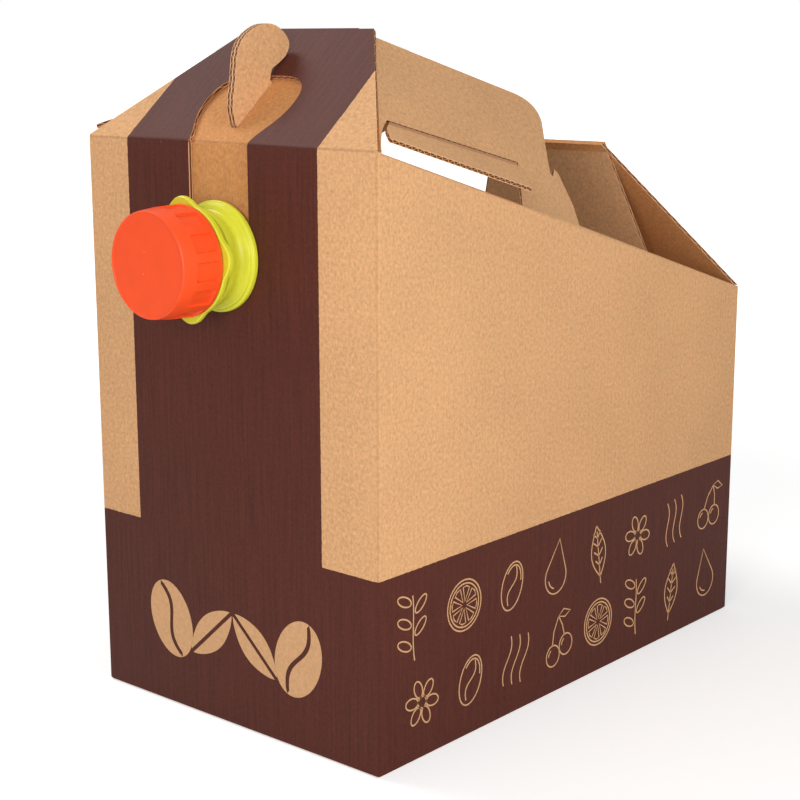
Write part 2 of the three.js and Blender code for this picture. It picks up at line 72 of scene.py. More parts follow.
BACK_UP = Vector((0, -math.cos(math.radians(55.3)), math.sin(math.radians(55.3))))
BACK_OUT = Vector((0, BACK_UP.z, -BACK_UP.y))
TUCK_OUT = Vector((0, -math.sin(math.radians(77.5)), -math.cos(math.radians(77.5))))
SLOPE_FOOT = Vector((0, FRONT_Y, FRONT_HEIGHT))
BACK_FOOT = Vector((0, BACK_Y, BACK_HEIGHT))
BACK_RIDGE = BACK_FOOT + 78 * MM * BACK_UP
LINER_DEPTH = BOARD + GAP


def linear(colour):
    """A colour given in 0 to 255 display values, as linear values."""
    return tuple(
        (c / 255 / 12.92) if c / 255 <= 0.04045 else ((c / 255 + 0.055) / 1.055) ** 2.4
        for c in colour
    )


class CartonSizes(bpy.types.PropertyGroup):
    """Sizes of the details that dress the carton."""

    flute_pitch: bpy.props.FloatProperty(
        name="Flute pitch",
        description="Distance between two waves of the board's medium",
        default=3.3 * MM,
        unit="LENGTH",
    )
    fold_radius: bpy.props.FloatProperty(
        name="Fold radius",
        description="Rounding of the board at its folds",
        default=1.1 * MM,
        unit="LENGTH",
    )
    band_height: bpy.props.FloatProperty(
        name="Band height",
        description="Height of the printed band round the foot",
        default=74 * MM,
        unit="LENGTH",
    )
    stripe_width: bpy.props.FloatProperty(
        name="Stripe width",
        description="Width of the printed stripe on the front",
        default=99.7 * MM,
        unit="LENGTH",
    )
    stroke: bpy.props.FloatProperty(
        name="Stroke",
        description="Width of the lines in the printed motifs",
        default=0.62 * MM,
        unit="LENGTH",
    )
    cap_panels: bpy.props.IntProperty(
        name="Cap panels",
        description="Number of recessed panels round the cap's skirt",
        default=12,
        min=4,
    )


class CartonColours(bpy.types.PropertyGroup):
    """Colours of the carton's finishes."""

    kraft: bpy.props.FloatVectorProperty(
        name="Kraft",
        description="Outer liner of the board",
        subtype="COLOR",
        default=linear((216, 165, 117)),
    )
    # The inner liner's colour is partly its own and partly painted shade: darker and more saturated than the
    # kraft, as the shaded inside looks.
    inside: bpy.props.FloatVectorProperty(
        name="Inside",
        description="Inner liner of the board",
        subtype="COLOR",
        default=linear((205, 143, 88)),
    )
    ink: bpy.props.FloatVectorProperty(
        name="Ink",
        description="Dark ink of the band and the stripe",
        subtype="COLOR",
        default=linear((84, 38, 27)),
    )
    cap: bpy.props.FloatVectorProperty(
        name="Cap",
        description="Moulded screw cap",
        subtype="COLOR",
        default=linear((252, 84, 34)),
    )
    spout: bpy.props.FloatVectorProperty(
        name="Spout",
        description="Moulded spout",
        subtype="COLOR",
        default=linear((214, 212, 52)),
    )
    film: bpy.props.FloatVectorProperty(
        name="Film",
        description="Metallised film of the bag",
        subtype="COLOR",
        default=linear((205, 208, 212)),
    )


def sizes():
    return bpy.context.scene.carton_sizes


def colours():
    return bpy.context.scene.carton_colours


# Node trees.


def fill(tree, socket, value):
    """Links a socket to another, or gives it a value of its own."""
    if isinstance(value, bpy.types.NodeSocket):
        tree.links.new(value, socket)
    else:
        socket.default_value = value


def put(tree, kind, inputs=None, **settings):
    """Adds a node, sets its properties, and links or fills its inputs by name or number."""
    node = tree.nodes.new(kind)
    for key, value in settings.items():
        setattr(node, key, value)
    for key, value in (inputs or {}).items():
        fill(tree, node.inputs[key], value)
    return node


def maths(tree, operation, a, b=0.0, c=0.0):
    return put(tree, "ShaderNodeMath", {0: a, 1: b, 2: c}, operation=operation).outputs[0]


def ramp(tree, value, low, high, to_low=0.0, to_high=1.0):
    """Maps a value smoothly from one range to another."""
    inputs = {"Value": value, "From Min": low, "From Max": high, "To Min": to_low, "To Max": to_high}
    return put(tree, "ShaderNodeMapRange", inputs, interpolation_type="SMOOTHSTEP").outputs[0]


def blend_colour(tree, factor, a, b, mode="MIX"):
    node = put(tree, "ShaderNodeMix", data_type="RGBA", blend_type=mode)
    for number, value in ((0, factor), (6, a), (7, b)):
        if not isinstance(value, (bpy.types.NodeSocket, int, float)):
            value = (*value[:3], 1.0)
        fill(tree, node.inputs[number], value)
    return node.outputs[2]


def noise(tree, vector, scale, detail=3.0, roughness=0.55):
    inputs = {"Vector": vector, "Scale": scale, "Detail": detail, "Roughness": roughness}
    return put(tree, "ShaderNodeTexNoise", inputs).outputs["Fac"]


def scaled(tree, vector, scale):
    inputs = {"Vector": vector, "Scale": scale}
    return put(tree, "ShaderNodeMapping", inputs).outputs[0]


def grey_of(tree, tone):
    return put(tree, "ShaderNodeCombineXYZ", {"X": tone, "Y": tone, "Z": tone}).outputs[0]


def begin_material(name):
    """A new material, its node tree, its shader and the place on the object."""
    material = bpy.data.materials.new(name)
    material.use_nodes = True
    tree = material.node_tree
    place = put(tree, "ShaderNodeTexCoord").outputs["Object"]
    return material, tree, tree.nodes["Principled BSDF"], place


def new_group(name, inputs, outputs):
    """A shader node group with named sockets, and its input and output nodes."""
    tree = bpy.data.node_groups.new(name, "ShaderNodeTree")
    for label, kind, default in inputs:
        socket = tree.interface.new_socket(name=label, in_out="INPUT", socket_type=kind)
        if default is not None:
            socket.default_value = default
    for label, kind in outputs:
        tree.interface.new_socket(name=label, in_out="OUTPUT", socket_type=kind)
    source = tree.nodes.new("NodeGroupInput")
    target = tree.nodes.new("NodeGroupOutput")
    return tree, source, target


def use_group(tree, group, inputs):
    return put(tree, "ShaderNodeGroup", inputs, node_tree=group)


def paper_group():
    """Kraft paper: soft mottling, short fibres, and the flutes that show through it, as bump and as faint
    stripes of painted light and shade.
    """
    tree, source, target = new_group(
        "kraft_paper",
        [
            ("Place", "NodeSocketVector", None),
            ("Across", "NodeSocketFloat", 0.0),
            ("Along", "NodeSocketFloat", 0.0),
            ("Paper", "NodeSocketColor", (0.6, 0.4, 0.2, 1)),
            ("Pitch", "NodeSocketFloat", 0.0033),
        ],
        [
            ("Color", "NodeSocketColor"),
            ("Height", "NodeSocketFloat"),
            ("Roughness", "NodeSocketFloat"),
            ("Streaks", "NodeSocketFloat"),
        ],
    )
    place = source.outputs["Place"]
    across = source.outputs["Across"]
    along = source.outputs["Along"]
    flat = put(tree, "ShaderNodeCombineXYZ", {"X": across, "Y": along}).outputs[0]
    fibres = noise(tree, scaled(tree, flat, (1.0, 0.45, 1.0)), 1150, 4.0, 0.7)
    specks = noise(tree, place, 760, 3.0, 0.62)
    clouds = noise(tree, place, 30, 2.0, 0.5)
    streaks = noise(tree, scaled(tree, flat, (1.0, 0.03, 1.0)), 900, 2.0, 0.6)
    turns = maths(tree, "MULTIPLY", maths(tree, "DIVIDE", across, source.outputs["Pitch"]), 2 * math.pi)
    wave = maths(tree, "SINE", turns)
    light = maths(tree, "MULTIPLY_ADD", fibres, 0.62, 0.69)
    light = maths(tree, "MULTIPLY_ADD", maths(tree, "SUBTRACT", specks, 0.5), 0.72, light)
    light = maths(tree, "MULTIPLY_ADD", maths(tree, "SUBTRACT", clouds, 0.5), 0.16, light)
    light = maths(tree, "MULTIPLY_ADD", maths(tree, "SUBTRACT", streaks, 0.5), 0.07, light)
    # Painted light and shade: faint stripes at the flute pitch over the liner's colour.
    light = maths(tree, "MULTIPLY_ADD", wave, 0.006, light)
    grey = grey_of(tree, light)
    colour = blend_colour(tree, 1.0, source.outputs["Paper"], grey, "MULTIPLY")
    dark_specks = ramp(tree, noise(tree, place, 900, 2.0, 0.5), 0.66, 0.78)
    colour = blend_colour(tree, maths(tree, "MULTIPLY", dark_specks, 0.28), colour, (0.20, 0.10, 0.045))
    height = maths(tree, "MULTIPLY_ADD", fibres, 0.5, maths(tree, "MULTIPLY", wave, 0.35))
    height = maths(tree, "MULTIPLY_ADD", streaks, 0.5, height)
    tree.links.new(colour, target.inputs["Color"])
    tree.links.new(height, target.inputs["Height"])
    tree.links.new(maths(tree, "MULTIPLY_ADD", fibres, 0.12, 0.78), target.inputs["Roughness"])
    tree.links.new(streaks, target.inputs["Streaks"])
    return tree


def cut_group():
    """The board's cut edge: two pale liners with the waved medium, and painted shade for the hollows between
    them.
    """
    tree, source, target = new_group(
        "cut_flutes",
        [
            ("Across", "NodeSocketFloat", 0.0),
            ("Depth", "NodeSocketFloat", 0.0),
            ("Pitch", "NodeSocketFloat", 0.0033),
            ("Paper", "NodeSocketColor", (0.6, 0.4, 0.2, 1)),
        ],
        [("Color", "NodeSocketColor"), ("Height", "NodeSocketFloat")],
    )
    depth = maths(tree, "FRACT", source.outputs["Depth"])
    waves = maths(tree, "DIVIDE", source.outputs["Across"], source.outputs["Pitch"])
    turns = maths(tree, "MULTIPLY", waves, 2 * math.pi)
    wave = maths(tree, "MULTIPLY_ADD", maths(tree, "SINE", turns), 0.33, 0.5)
    medium = ramp(tree, maths(tree, "ABSOLUTE", maths(tree, "SUBTRACT", depth, wave)), 0.20, 0.10)
    centre = maths(tree, "ABSOLUTE", maths(tree, "SUBTRACT", depth, 0.5))
    liners = ramp(tree, centre, 0.30, 0.38)
    solid = maths(tree, "MAXIMUM", medium, liners)
    paper = source.outputs["Paper"]
    # Painted shade: the open hollows of the flutes are given a dark colour.
    painted_hollow_shade = blend_colour(tree, 1.0, paper, (0.20, 0.13, 0.09), "MULTIPLY")
    pale = blend_colour(tree, 0.35, paper, (0.93, 0.80, 0.63))
    colour = blend_colour(tree, solid, painted_hollow_shade, blend_colour(tree, liners, paper, pale))
    tree.links.new(colour, target.inputs["Color"])
    tree.links.new(solid, target.inputs["Height"])
    return tree


def group_named(name, build):
    return bpy.data.node_groups.get(name) or build()


def board_material(name="printed_board", printed=True, hinged=False):
    """Corrugated board: kraft liners, fluted cut edges and, outside, the dark print."""
    made = bpy.data.materials.get(name)
    if made:
        return made
    material, tree, shader, place = begin_material(name)
    board = put(tree, "ShaderNodeSeparateXYZ", {0: put(tree, "ShaderNodeUVMap", uv_map="board").outputs[0]})
    across, along = board.outputs["X"], board.outputs["Y"]
    cut = put(tree, "ShaderNodeAttribute", attribute_name="cut").outputs["Fac"]
    outer = put(tree, "ShaderNodeAttribute", attribute_name="outer").outputs["Fac"]
    pitch = sizes().flute_pitch
    kraft = blend_colour(tree, outer, colours().inside, colours().kraft)
    paper = use_group(
        tree,
        group_named("kraft_paper", paper_group),
        {"Place": place, "Across": across, "Along": along, "Paper": kraft, "Pitch": pitch},
    )
    edge = use_group(
        tree,
        group_named("cut_flutes", cut_group),
        {"Across": across, "Depth": along, "Pitch": pitch, "Paper": kraft},
    )
    colour = paper.outputs["Color"]
    rough = paper.outputs["Roughness"]
    if printed:
        striped = put(tree, "ShaderNodeAttribute", attribute_name="striped").outputs["Fac"]
        ink = print_mask(tree, place, outer, striped)
        tone = maths(tree, "MULTIPLY_ADD", paper.outputs["Streaks"], 0.8, 0.22)
        grain = maths(tree, "MULTIPLY_ADD", noise(tree, place, 900, 3.0, 0.6), 0.76, tone)
        grey = grey_of(tree, grain)
        dark = blend_colour(tree, 1.0, colours().ink, grey, "MULTIPLY")
        colour = blend_colour(tree, ink, colour, dark)
        rough = maths(tree, "MULTIPLY_ADD", ink, -0.20, rough)
    if hinged:
        # Painted shade in the hinge's crease groove: a darker band along it and a darker line in it.
        reach = maths(tree, "ABSOLUTE", along)
        pressed = maths(tree, "MULTIPLY", ramp(tree, reach, 0.0030, 0.0024), 0.45)
        from_line = maths(tree, "ABSOLUTE", maths(tree, "SUBTRACT", reach, 0.0014))
        line = maths(tree, "MULTIPLY", ramp(tree, from_line, 0.0005, 0.0001), 0.5)
        crease_shade_mask = maths(tree, "MAXIMUM", pressed, line)
        darker = blend_colour(tree, 1.0, colour, (0.45, 0.33, 0.25), "MULTIPLY")
        colour = blend_colour(tree, crease_shade_mask, colour, darker)
    # Painted shade: a thin darker line along the upright corners and the slope's crease.
    darker = blend_colour(tree, 1.0, colour, (0.62, 0.56, 0.5), "MULTIPLY")
    colour = blend_colour(tree, fold_shade_mask(tree, place), colour, darker)
    colour = blend_colour(tree, cut, colour, edge.outputs["Color"])
    height = maths(tree, "MULTIPLY", paper.outputs["Height"], maths(tree, "SUBTRACT", 1.0, cut))
    height = maths(tree, "MULTIPLY_ADD", maths(tree, "MULTIPLY", edge.outputs["Height"], cut), 6.0, height)
    bump = put(tree, "ShaderNodeBump", {"Strength": 0.55, "Distance": 0.00006, "Height": height})
    shader.inputs["Specular IOR Level"].default_value = 0.25
    tree.links.new(colour, shader.inputs["Base Color"])
    tree.links.new(rough, shader.inputs["Roughness"])
    tree.links.new(bump.outputs[0], shader.inputs["Normal"])
    return material


def print_mask(tree, place, outer, striped):
    """Where the ink lies: the band round the foot, and the stripe up the front wall and over its slope."""
    at = put(tree, "ShaderNodeSeparateXYZ", {0: place})
    wander = maths(tree, "MULTIPLY_ADD", noise(tree, place, 900, 2.0), 0.0005, -0.00025)
    z = maths(tree, "ADD", at.outputs["Z"], wander)
    x = maths(tree, "ADD", at.outputs["X"], wander)
    band = maths(tree, "LESS_THAN", z, sizes().band_height)
    off_middle = maths(tree, "ABSOLUTE", maths(tree, "SUBTRACT", x, SPOUT.x))
    stripe = maths(tree, "LESS_THAN", off_middle, sizes().stripe_width / 2)
    mask = maths(tree, "MAXIMUM", band, maths(tree, "MULTIPLY", stripe, striped))
    standing = maths(tree, "GREATER_THAN", at.outputs["Z"], 0.00025)
    mask = maths(tree, "MULTIPLY", mask, standing)
    worn = ramp(tree, noise(tree, place, 60, 5.0, 0.75), 0.80, 0.70)
    return maths(tree, "MULTIPLY", maths(tree, "MULTIPLY", mask, outer), worn)


def fold_shade_mask(tree, place):
    """A thin line of painted shade at each upright corner and at the crease of the front slope."""
    at = put(tree, "ShaderNodeSeparateXYZ", {0: place})
    from_side = maths(tree, "SUBTRACT", SIDE_X, maths(tree, "ABSOLUTE", at.outputs["X"]))
    from_end = maths(tree, "SUBTRACT", BACK_Y, maths(tree, "ABSOLUTE", at.outputs["Y"]))
    corner = ramp(tree, maths(tree, "MAXIMUM", from_side, from_end), 0.0009, 0.0004)
    from_crease = maths(tree, "SUBTRACT", at.outputs["Z"], FRONT_HEIGHT - 0.0004)
    crease = ramp(tree, maths(tree, "ABSOLUTE", from_crease), 0.0006, 0.0002)
    crease = maths(tree, "MULTIPLY", crease, maths(tree, "LESS_THAN", at.outputs["Y"], FRONT_Y + 0.003))
    return maths(tree, "MULTIPLY", maths(tree, "MAXIMUM", corner, crease), 0.55)


def plastic_material(name, colour, roughness, glow):
    """Moulded plastic: faint flow marks, slight grain and light that passes a little way in."""
    material, tree, shader, place = begin_material(name)
    flow = noise(tree, scaled(tree, place, (1.0, 0.4, 1.0)), 130, 3.0, 0.5)
    grain = noise(tree, place, 2600, 3.0, 0.6)
    tone = maths(tree, "MULTIPLY_ADD", flow, 0.12, 0.94)
    grey = grey_of(tree, tone)
    tree.links.new(blend_colour(tree, 1.0, colour, grey, "MULTIPLY"), shader.inputs["Base Color"])
    tree.links.new(maths(tree, "MULTIPLY_ADD", grain, 0.12, roughness - 0.06), shader.inputs["Roughness"])
    height = maths(tree, "MULTIPLY_ADD", flow, 1.5, maths(tree, "MULTIPLY", grain, 0.5))
    bump = put(tree, "ShaderNodeBump", {"Strength": 0.3, "Distance": 0.00004, "Height": height})
    tree.links.new(bump.outputs[0], shader.inputs["Normal"])
    shader.inputs["Specular IOR Level"].default_value = 0.35
    shader.inputs["Subsurface Weight"].default_value = glow
    shader.inputs["Subsurface Radius"].default_value = (0.004, 0.003, 0.0015)
    shader.inputs["Subsurface Scale"].default_value = 0.6
    return material


def foam_material():
    material, tree, shader, place = begin_material("sealing_foam")
    cells = put(tree, "ShaderNodeTexVoronoi", {"Vector": place, "Scale": 2600.0}).outputs["Distance"]
    tone = maths(tree, "MULTIPLY_ADD", cells, 0.12, 0.84)
    colour = put(tree, "ShaderNodeCombineColor", {0: tone, 1: tone, 2: maths(tree, "MULTIPLY", tone, 0.96)})
    tree.links.new(colour.outputs[0], shader.inputs["Base Color"])
    tree.links.new(maths(tree, "MULTIPLY_ADD", cells, 0.2, 0.6), shader.inputs["Roughness"])
    bump = put(tree, "ShaderNodeBump", {"Strength": 0.4, "Distance": 0.0001, "Height": cells})
    tree.links.new(bump.outputs[0], shader.inputs["Normal"])
    return material


def film_material():
    """Metallised laminate film with fine crinkles and a few sharper folds, whose valleys are darkened with
    painted shade.
    """
    material, tree, shader, place = begin_material("metallised_film")
    bent = put(tree, "ShaderNodeTexNoise", {"Vector": place, "Scale": 22.0, "Detail": 3.0})
    shift = {0: bent.outputs["Color"], 1: (0.03, 0.03, 0.03), 2: place}
    pushed = put(tree, "ShaderNodeVectorMath", shift, operation="MULTIPLY_ADD").outputs[0]
    folds, fine = (
        put(tree, "ShaderNodeTexVoronoi", {"Vector": pushed, "Scale": scale}, feature="DISTANCE_TO_EDGE")
        for scale in (42.0, 150.0)
    )
    crinkles = maths(tree, "MULTIPLY", ramp(tree, fine.outputs[0], 0.0, 0.2), 0.3)
    height = maths(tree, "ADD", ramp(tree, folds.outputs[0], 0.0, 0.16), crinkles)
    # Painted shade: the colour is a little darker along the folds and crinkles.
    tone = maths(tree, "MULTIPLY_ADD", height, 0.08, 0.9)
    grey = grey_of(tree, tone)
    tree.links.new(blend_colour(tree, 1.0, colours().film, grey, "MULTIPLY"), shader.inputs["Base Color"])
    rough = maths(tree, "MULTIPLY_ADD", noise(tree, place, 300), 0.12, 0.24)
    tree.links.new(rough, shader.inputs["Roughness"])
    tree.links.new(maths(tree, "MULTIPLY_ADD", height, 0.02, 0.86), shader.inputs["Metallic"])
    bump = put(tree, "ShaderNodeBump", {"Strength": 0.7, "Distance": 0.0012, "Height": height})
    tree.links.new(bump.outputs[0], shader.inputs["Normal"])
    return material


# Modelling.


def select_only(piece):
    if bpy.context.object and bpy.context.object.mode != "OBJECT":
        bpy.ops.object.mode_set(mode="OBJECT")
    bpy.ops.object.select_all(action="DESELECT")
    piece.select_set(True)
    bpy.context.view_layer.objects.active = piece


def edit(piece, mode="FACE"):
    select_only(piece)
    bpy.ops.object.mode_set(mode="EDIT")
    bpy.ops.mesh.select_mode(type=mode)


def mesh_piece(name, points, edges, faces):
    mesh = bpy.data.meshes.new(name)
    mesh.from_pydata(points, edges, faces)
    piece = bpy.data.objects.new(name, mesh)
    bpy.context.scene.collection.objects.link(piece)
    return piece


def face_outwards(piece):
    edit(piece)
    bpy.ops.mesh.select_all(action="SELECT")
    bpy.ops.mesh.normals_make_consistent(inside=False)
    bpy.ops.object.mode_set(mode="OBJECT")
    return piece


def tube_faces(rows, count, closed):
    """Quads that join rows of count points each into a tube."""
    faces = []
    for i in range(rows if closed else rows - 1):
        j = (i + 1) % rows
        for k in range(count):
            m = (k + 1) % count
            faces.append((i * count + k, j * count + k, j * count + m, i * count + m))
    return faces


def choose(piece, faces=None, edges=None):
    """Selects just the faces or edges for which a test holds, and returns how many there are."""
    bpy.ops.mesh.select_all(action="DESELECT")
    bpy.ops.object.mode_set(mode="OBJECT")
    mesh = piece.data
    count = 0
    if faces:
        for polygon in mesh.polygons:
            polygon.select = bool(faces(polygon))
            count += polygon.select
    if edges:
        for line in mesh.edges:
            a, b = (mesh.vertices[i].co for i in line.vertices)
            line.select = bool(edges(a, b))
            count += line.select
    bpy.ops.object.mode_set(mode="EDIT")
    return count


def finish_piece(piece, material, body, angle=35):
    """Smooths a piece by angle, gives it its finish, and puts it on its body."""
    select_only(piece)
    piece.data.materials.clear()
    piece.data.materials.append(material)
    bpy.ops.object.shade_smooth_by_angle(angle=math.radians(angle))
    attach(piece, body)
    return piece


def copy_of_node(node, name):
    """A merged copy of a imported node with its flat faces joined, which stands for the node."""
    piece = bpy.data.objects.new(name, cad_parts[node].data.copy())
    bpy.context.scene.collection.objects.link(piece)
    edit(piece)
    bpy.ops.mesh.select_all(action="SELECT")
    bpy.ops.mesh.customdata_custom_splitnormals_clear()
    bpy.ops.mesh.remove_doubles(threshold=0.02 * MM)
    bpy.ops.mesh.dissolve_limited(angle_limit=math.radians(0.4))
    bpy.ops.object.mode_set(mode="OBJECT")
    for layer in list(piece.data.uv_layers):
        piece.data.uv_layers.remove(layer)
    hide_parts(node)
    return piece


def on_line(point, start, direction, slack=0.03 * MM):
    offset = point - start
    return (offset - direction * offset.dot(direction)).length < slack


def round_folds(piece, lines, radius):
    """Rounds the board where it is folded along the given lines."""
    edit(piece, "EDGE")
    lines = [(Vector(start), Vector(direction).normalized()) for start, direction in lines]

    def folded(a, b):
        return (a - b).length > 4 * radius and any(on_line(a, s, d) and on_line(b, s, d) for s, d in lines)

    if choose(piece, edges=folded):
        bpy.ops.mesh.bevel(offset=radius, segments=3, affect="EDGES", clamp_overlap=True)
    bpy.ops.object.mode_set(mode="OBJECT")


def panel(point, out, across, layers=1, liner=1.0, striped=0.0):
    """A flat panel of board: a point on its outer face, its outward normal and the way across its flutes."""
    out = Vector(out).normalized()
    across = Vector(across).normalized()
    return {
        "point": Vector(point),
        "out": out,
        "across": across,
        "along": out.cross(across),
        "thick": layers * BOARD,
        "liner": liner,
        "striped": striped,
    }


def map_board(piece, panels):
    """Maps each face by the panel that it lies in, and marks cut edges and the outside liner."""
    mesh = piece.data
    layer = mesh.uv_layers.new(name="board")
    cut = mesh.attributes.new("cut", "FLOAT", "FACE")
    outer = mesh.attributes.new("outer", "FLOAT", "FACE")
    striped = mesh.attributes.new("striped", "FLOAT", "FACE")
    slack = 0.08 * MM
    for polygon in mesh.polygons:
        points = [mesh.vertices[i].co for i in polygon.vertices]
        best = None
        for entry in panels:
            depths = [(entry["point"] - p).dot(entry["out"]) for p in points]
            low, high = min(depths), max(depths)
            miss = max(0.0, -low - slack) + max(0.0, high - entry["thick"] - slack)
            facing = abs(polygon.normal.dot(entry["out"]))
            flat = facing > 0.94
            spans = high - low > 0.55 * BOARD
            if not flat and not spans and facing < 0.3:
                miss += 0.2 * MM
            score = (miss, 0 if flat else 1, -(high - low))
            if best is None or score < best[0]:
                best = (score, entry, flat, low, high, facing)
        _, entry, flat, low, high, facing = best
        is_cut = facing < 0.6 and high - low > 0.5 * BOARD
        is_outer = not is_cut and (low + high) / 2 < 0.7 * MM and polygon.normal.dot(entry["out"]) > 0.2
        cut.data[polygon.index].value = 1.0 if is_cut else 0.0
        outer.data[polygon.index].value = entry["liner"] if is_outer else 0.0
        striped.data[polygon.index].value = entry["striped"] if is_outer else 0.0
        for loop in polygon.loop_indices:
            p = mesh.vertices[mesh.loops[loop].vertex_index].co
            u = p.dot(entry["across"])
            if is_cut:
                v = (entry["point"] - p).dot(entry["out"]) / BOARD
            else:
                v = (p - entry["point"]).dot(entry["along"])
            layer.data[loop].uv = (u, v)


def spun(name, profile, steps, centre=SPOUT):
    """A turned shape: radii and reaches before the wall, in mm, spun about the spout's axis."""
    points = [(centre.x + r * MM, centre.y - reach * MM, centre.z) for r, reach in profile]
    piece = mesh_piece(name, points, [(i, i + 1) for i in range(len(points) - 1)], [])
    edit(piece, "VERT")
    bpy.ops.mesh.select_all(action="SELECT")
    bpy.ops.mesh.spin(steps=steps, angle=2 * math.pi, center=centre, axis=(0, 1, 0))
    bpy.ops.mesh.select_all(action="SELECT")
    bpy.ops.mesh.remove_doubles(threshold=0.01 * MM)
    bpy.ops.mesh.normals_make_consistent(inside=False)
    bpy.ops.object.mode_set(mode="OBJECT")
    return piece


def rounded(profile, radius, steps=3):
    """The profile with each inner corner turned into a short arc."""
    points = [np.array(p, float) for p in profile]
    result = [points[0]]
    for before, here, after in zip(points, points[1:], points[2:]):
        a, b = before - here, after - here
        reach = min(radius, np.linalg.norm(a) * 0.45, np.linalg.norm(b) * 0.45)
        start = here + a / np.linalg.norm(a) * reach
        end = here + b / np.linalg.norm(b) * reach
        for i in range(steps + 1):
            t = i / steps
            result.append((1 - t) ** 2 * start + 2 * t * (1 - t) * here + t ** 2 * end)
    result.append(points[-1])
    return [tuple(p) for p in result]


def join(first, *others):
    select_only(first)
    for other in others:
        other.select_set(True)
    bpy.ops.object.join()
    return first


def apply_modifier(piece, kind, **settings):
    select_only(piece)
    modifier = piece.modifiers.new(kind.lower(), kind)
    for key, value in settings.items():
        setattr(modifier, key, value)
    bpy.ops.object.modifier_apply(modifier=modifier.name)


# Printed motifs, as lines in millimetres about their own middles.


def arc(cx, cy, rx, ry, start, end, steps=24, turn=0.0):
    points = []
    for i in range(steps + 1):
        t = math.radians(start + (end - start) * i / steps)
        x, y = rx * math.cos(t), ry * math.sin(t)
        c, s = math.cos(math.radians(turn)), math.sin(math.radians(turn))
        points.append((cx + c * x - s * y, cy + s * x + c * y))
    return points


def bean():
    tilt = -28
    c, s = math.cos(math.radians(tilt)), math.sin(math.radians(tilt))
    crease = [(1.6 * math.sin(t * 3.1), 7.6 * t) for t in np.linspace(-1, 1, 15)]
    crease = [(x * c - y * s, x * s + y * c) for x, y in crease]
    return [arc(0, 0, 6.2, 9.4, 0, 360, 32, tilt), arc(0, 0, 5.0, 8.1, 20, 150, 16, tilt), crease]


def leaf():
    left = [(-5.6 * math.sin(math.pi * t) * (1 - 0.25 * t), -11 + 22 * t) for t in np.linspace(0, 1, 15)]
    right = [(-x, y) for x, y in left]
    lines = [left, right, [(0, -14), (0, 8.5)]]
    for y in (-6, -2, 2, 5.6):
        lines.append([(0, y), (3.3 * (1 - abs(y) / 22), y + 2.6)])
        lines.append([(0, y), (-3.3 * (1 - abs(y) / 22), y + 2.6)])
    return lines


def drop():
    body = arc(0, -3.4, 6.8, 6.8, 150, 390, 26)
    return [[(0, 11.5)] + body[::-1] + [(0, 11.5)], arc(0, -3.4, 4.6, 4.6, 200, 265, 8)]


def slice_of_fruit():
    lines = [arc(0, 0, 9.6, 9.6, 0, 360, 40), arc(0, 0, 8.2, 8.2, 0, 360, 36)]
    for k in range(8):
        segment = ((1.4, 0), (6.9, -15.5), (7.2, 0), (6.9, 15.5), (1.4, 0))
        angles = [(r, math.radians(45 * k + turn)) for r, turn in segment]
        lines.append([(r * math.cos(t), r * math.sin(t)) for r, t in angles])
    return lines


def curls():
    steps = np.linspace(-1, 1, 20)
    return [[(x0 + 1.9 * math.sin(t * 2.6), 9.5 * t) for t in steps] for x0 in (-5.4, 0, 5.4)]


def berries():
    middles = ((-4.2, -5.2), (4.6, -3.6))
    rims = [arc(x, y, 4.3, 4.3, 0, 360, 26) for x, y in middles]
    shines = [arc(x, y, 2.8, 2.8, 110, 170, 8) for x, y in middles]
    stalks = [[(-4, -0.9), (-2.4, 4.4), (1.4, 9.6)], [(4.2, 0.7), (3.4, 5.2), (1.4, 9.6)]]
    leaflet = [(1.4, 9.6), (5.0, 11.4), (9.2, 9.2), (5.4, 7.9), (1.4, 9.6)]
    return rims + shines + stalks + [leaflet]


def flower():
    lines = [arc(0, 0, 2.2, 2.2, 0, 360, 18)]
    for turn in range(0, 360, 60):
        t = math.radians(turn)
        lines.append(arc(5.6 * math.cos(t), 5.6 * math.sin(t), 3.4, 2.1, 0, 360, 20, turn))
    return lines


def sprig():
    lines = [[(1.4 * math.sin(y / 7), y) for y in range(-13, 12, 2)]]
    for k, y in enumerate((-8, -4, 0, 4, 8)):
        side = 1 if k % 2 else -1
        lines.append(arc(side * 4.4 + 1.4 * math.sin(y / 7), y + 2.4, 3.9, 1.7, 0, 360, 18, side * 34))
    return lines


def solid_bean():
    """Two halves of a bean, each filled, with a waved gap between them."""
    gap = [(0.9 + 2.2 * math.sin(t * 3.1), 13.5 * t) for t in np.linspace(-0.96, 0.96, 17)]
    rim = arc(0, 0, 10.5, 14.5, 90, -90, 24)
    right = rim + gap
    left = [(-x, -y) for x, y in right]
    return [right, left]


def solid_leaf():
    """Two filled halves of a leaf beside its bare midrib."""
    side = [(0.8 + 6.2 * math.sin(math.pi * t) ** 0.8, -15 + 30 * t) for t in np.linspace(0, 1, 19)]
    return [side + [(0.8, 15)], [(-x, y) for x, y in side][::-1] + [(-0.8, -15)]]


SOLIDS = {"solid_bean": solid_bean, "solid_leaf": solid_leaf}
MOTIFS = {
    "bean": bean,
    "leaf": leaf,
    "drop": drop,
    "slice": slice_of_fruit,
    "curls": curls,
    "berries": berries,
    "flower": flower,
    "sprig": sprig,
}
UPPER_ROW = ("sprig", "slice", "bean", "drop", "leaf", "flower", "curls", "berries")
LOWER_ROW = ("flower", "bean", "curls", "berries", "slice", "sprig", "leaf", "drop")


def stroke_faces(line, width, points, faces):
    """Adds a line as a flat strip of the given width."""
    line = [np.array(p, float) for p in line]
    closed = np.linalg.norm(line[0] - line[-1]) < 1e-6
    start = len(points)
    last = len(line) - 1
    for i, here in enumerate(line):
        before = line[i - 1] if i else (line[-2] if closed else here)
        after = line[i + 1] if i < last else (line[1] if closed else here)
        way = after - before
        way = way / max(np.linalg.norm(way), 1e-9)
        side = np.array((-way[1], way[0])) * width / 2
        points.extend([here + side, here - side])
    for i in range(last):
        a = start + 2 * i
        faces.append((a, a + 1, a + 3, a + 2))


